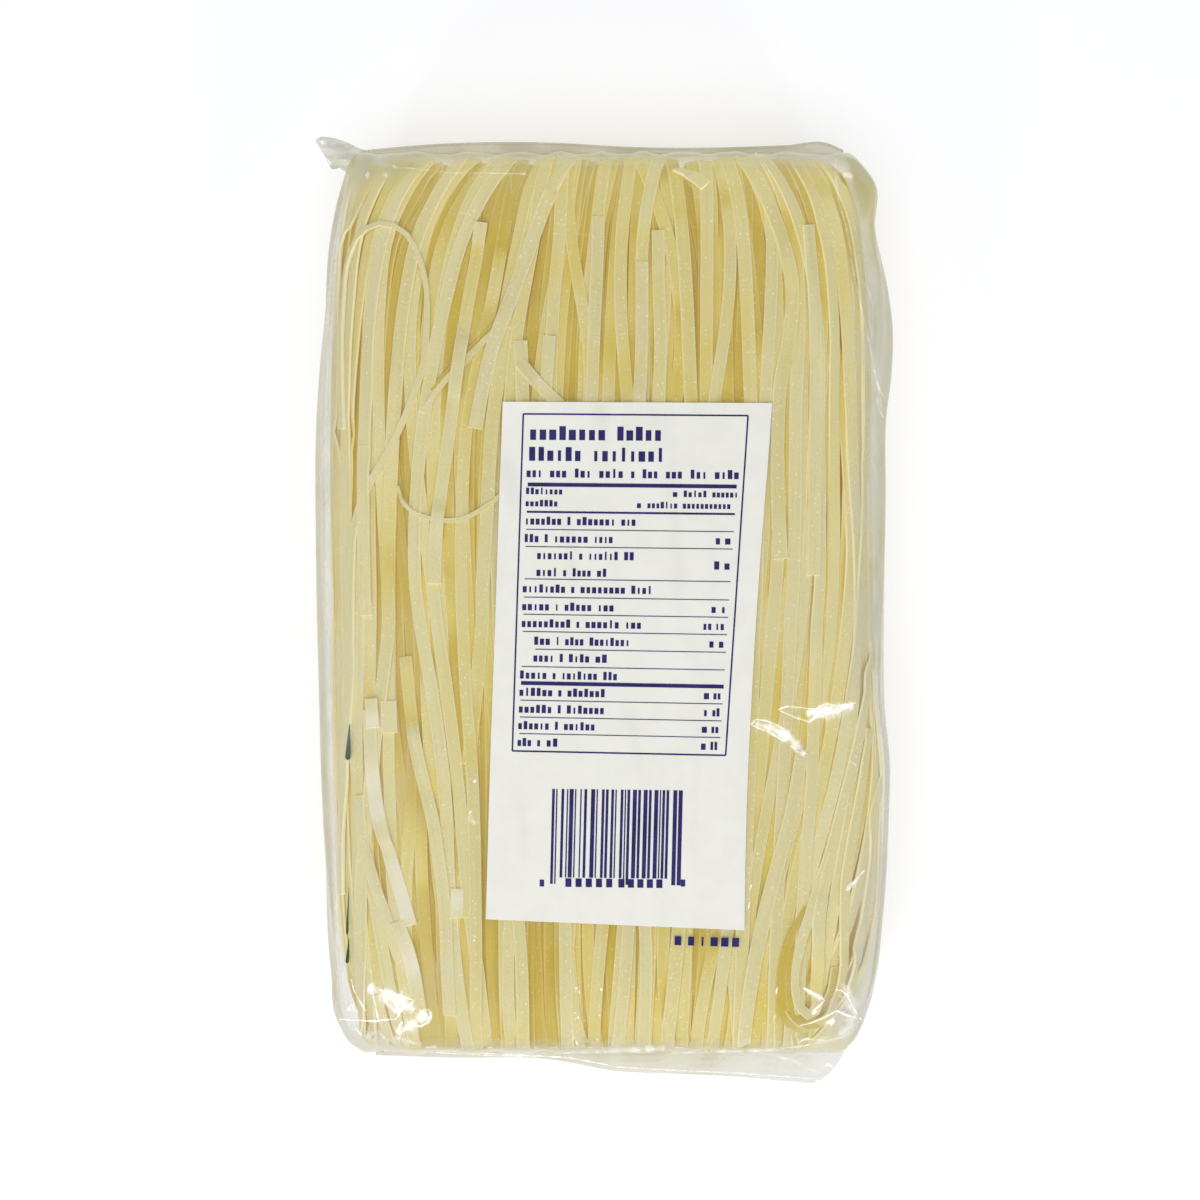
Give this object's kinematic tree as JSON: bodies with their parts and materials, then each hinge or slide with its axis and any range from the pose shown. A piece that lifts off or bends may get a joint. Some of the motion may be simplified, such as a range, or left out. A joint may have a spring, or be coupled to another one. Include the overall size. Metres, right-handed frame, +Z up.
{
  "type": "bag of dried flat rice noodles",
  "caption": "Sealed clear film bag round a block of dried flat rice noodles, lying on its front with the plain back label up.",
  "frame": {"origin": "under the middle of the bag's bounding box, on the surface that it lies on", "axes": "+Y along the noodles to the bag's upper end, +Z up out of the labelled back, +X to the right seen from above"},
  "size_m": [0.1427, 0.2342, 0.0455],
  "materials": {
    "film_over_noodles": "clear glossy film over pale straw noodles"
  },
  "bodies": {
    "root": {"bag": "film_over_noodles"}
  },
  "joints": []
}
